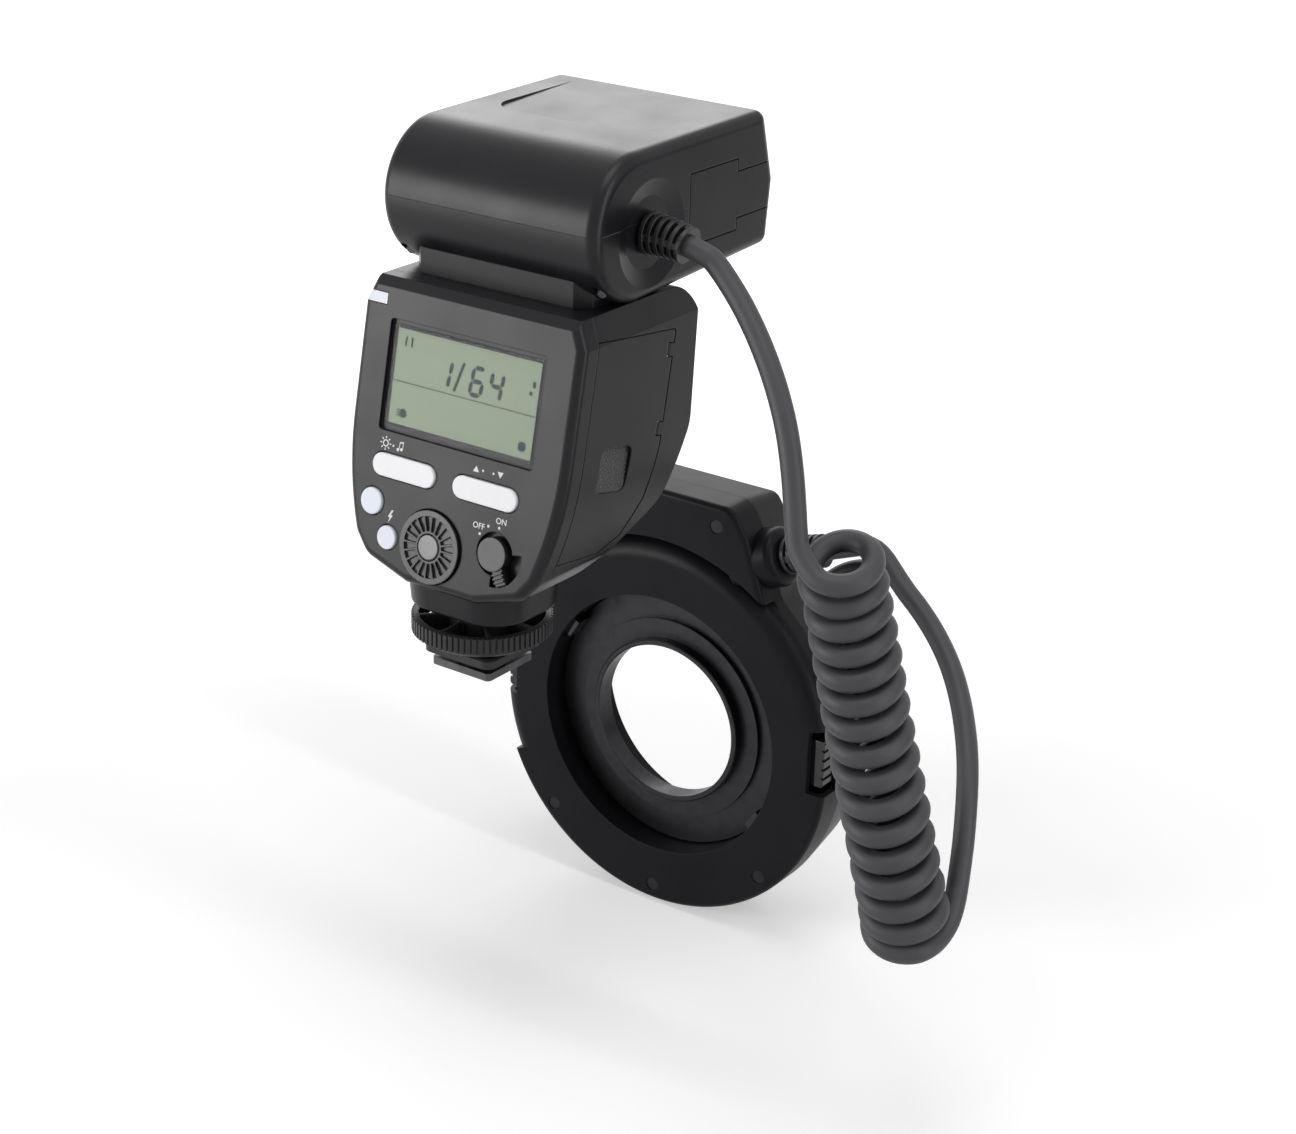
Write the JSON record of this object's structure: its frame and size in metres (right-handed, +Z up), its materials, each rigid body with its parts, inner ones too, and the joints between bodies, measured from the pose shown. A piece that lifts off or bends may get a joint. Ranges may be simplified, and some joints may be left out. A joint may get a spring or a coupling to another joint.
{
  "type": "macro ring flash",
  "caption": "Camera-mounted control unit with a display and a flash ring head on a lens adapter, joined by a curly cord.",
  "frame": {"origin": "centre of the underside of the shoe foot of the control unit", "axes": "+Z up out of the camera's shoe, +Y forwards along the lens, +X to the right of someone behind the control panel"},
  "size_m": [0.1897, 0.1227, 0.2387],
  "materials": {
    "black_plastic": "fine-grained moulded",
    "gloss_black": "smooth",
    "black_rubber": "matt",
    "cord_grey": "matt dark grey",
    "blackened_steel": "blackened",
    "black_metal": "anodised black",
    "steel": "plain",
    "gold": "gold-plated",
    "contact_metal": "nickel-plated",
    "reflector_metal": "bright",
    "cell_wrap": "wrapped",
    "capacitor_wrap": "wrapped",
    "board_green": "lacquered board",
    "clear_window": "clear",
    "display_green": "liquid crystal",
    "white_key": "milky",
    "grey_key": "milky bluish",
    "pale_window": "milky",
    "red_window": "dark red",
    "tube_glass": "clear",
    "diffuser_white": "ribbed milky",
    "lamp_white": "domed"
  },
  "bodies": {
    "control_unit": {"foot_plate": "blackened_steel", "stem": "black_plastic", "foot_screws": "steel", "rear_cover": "black_plastic", "front_casing": "black_plastic", "door_hinge_pin": "steel", "battery_cells": "cell_wrap", "battery_contacts": "contact_metal", "battery_tray": "black_plastic", "display_window": "clear_window", "display_module": "display_green", "corner_window": "pale_window", "front_window": "red_window", "main_board": "board_green", "capacitor": "capacitor_wrap", "box_upper": "black_plastic", "box_lower": "black_plastic", "box_front_cover": "black_plastic", "flash_board": "board_green", "box_screws": "steel", "relief_upper": "black_rubber", "cord_upper": "cord_grey", "cord_coil": "cord_grey", "cord_lower": "cord_grey", "adapter_ring": "black_metal"},
    "pins": {"contact_pins": "gold"},
    "lock_wheel": {"lock_wheel": "black_plastic"},
    "clamp": {"clamp_plate": "blackened_steel", "lock_pin": "steel"},
    "door": {"battery_door": "black_plastic", "door_thumb_pad": "black_rubber", "door_contacts": "contact_metal"},
    "rocker_left": {"rocker_left": "white_key"},
    "rocker_right": {"rocker_right": "white_key"},
    "mode_button": {"mode_button": "grey_key"},
    "lamp_button": {"lamp_button": "grey_key"},
    "dial": {"control_dial": "black_plastic"},
    "set_button": {"set_button": "gloss_black"},
    "power_switch": {"power_switch": "black_plastic"},
    "ring_head": {"ring_rear_shell": "black_plastic", "ring_front_shell": "black_plastic", "socket_boss": "black_plastic", "relief_ring": "black_rubber", "flash_tubes": "tube_glass", "reflectors": "reflector_metal", "diffusers": "diffuser_white", "focus_lamps": "lamp_white", "ring_board": "board_green", "ring_screws": "steel", "spring_right": "steel", "spring_left": "steel"},
    "release_right": {"release_right": "gloss_black"},
    "release_left": {"release_left": "gloss_black"}
  },
  "joints": [
    {"name": "pins_press", "type": "slide", "parent": "control_unit", "child": "pins", "axis": [0, 0, 1], "range_m": [0, 0.0005], "stiffness_N_per_m": 400},
    {"name": "lock_wheel_turn", "type": "hinge", "parent": "control_unit", "child": "lock_wheel", "pos_m": [0, 0, 0.01], "axis": [0, 0, 1], "range_deg": [0, 240]},
    {"name": "clamp_lift", "type": "slide", "parent": "control_unit", "child": "clamp", "axis": [0, 0, 1], "range_m": [0, 0.001]},
    {"name": "door_swing", "type": "hinge", "parent": "control_unit", "child": "door", "pos_m": [0.0329, 0.02899, 0.07269], "axis": [0, 0.1983, 0.9801], "range_deg": [0, 90]},
    {"name": "rocker_left_tilt", "type": "hinge", "parent": "control_unit", "child": "rocker_left", "pos_m": [-0.0147, -0.00982, 0.05136], "axis": [0, 0.1983, 0.9801], "range_deg": [-3, 3], "stiffness_Nm_per_rad": 0.05},
    {"name": "rocker_right_tilt", "type": "hinge", "parent": "control_unit", "child": "rocker_right", "pos_m": [0.0108, -0.00982, 0.05136], "axis": [0, 0.1983, 0.9801], "range_deg": [-3, 3], "stiffness_Nm_per_rad": 0.05},
    {"name": "mode_press", "type": "slide", "parent": "control_unit", "child": "mode_button", "axis": [0, 0.9801, -0.1983], "range_m": [0, 0.0005], "stiffness_N_per_m": 800},
    {"name": "lamp_press", "type": "slide", "parent": "control_unit", "child": "lamp_button", "axis": [0, 0.9801, -0.1983], "range_m": [0, 0.0005], "stiffness_N_per_m": 800},
    {"name": "dial_turn", "type": "hinge", "parent": "control_unit", "child": "dial", "pos_m": [-0.0038, -0.01554, 0.03517], "axis": [0, -0.9801, 0.1983], "continuous": true},
    {"name": "set_press", "type": "slide", "parent": "control_unit", "child": "set_button", "axis": [0, 0.9801, -0.1983], "range_m": [0, 0.0005], "stiffness_N_per_m": 800},
    {"name": "power_turn", "type": "hinge", "parent": "control_unit", "child": "power_switch", "pos_m": [0.0157, -0.01492, 0.03821], "axis": [0, -0.9801, 0.1983], "range_deg": [0, 46]},
    {"name": "ring_turn", "type": "hinge", "parent": "control_unit", "child": "ring_head", "pos_m": [0, 0.088, -0.0485], "axis": [0, 1, 0], "range_deg": [-45, 45], "deforming": ["cord_lower"]},
    {"name": "release_right_press", "type": "slide", "parent": "ring_head", "child": "release_right", "axis": [-1, 0, 0], "range_m": [0, 0.0025], "stiffness_N_per_m": 600, "deforming": ["spring_right"]},
    {"name": "release_left_press", "type": "slide", "parent": "ring_head", "child": "release_left", "axis": [1, 0, 0], "range_m": [0, 0.0025], "stiffness_N_per_m": 600, "deforming": ["spring_left"]}
  ],
  "couplings": [
    {"joint": "lock_wheel_turn", "follows": "clamp_lift", "rad_per_m": 4188.8}
  ]
}
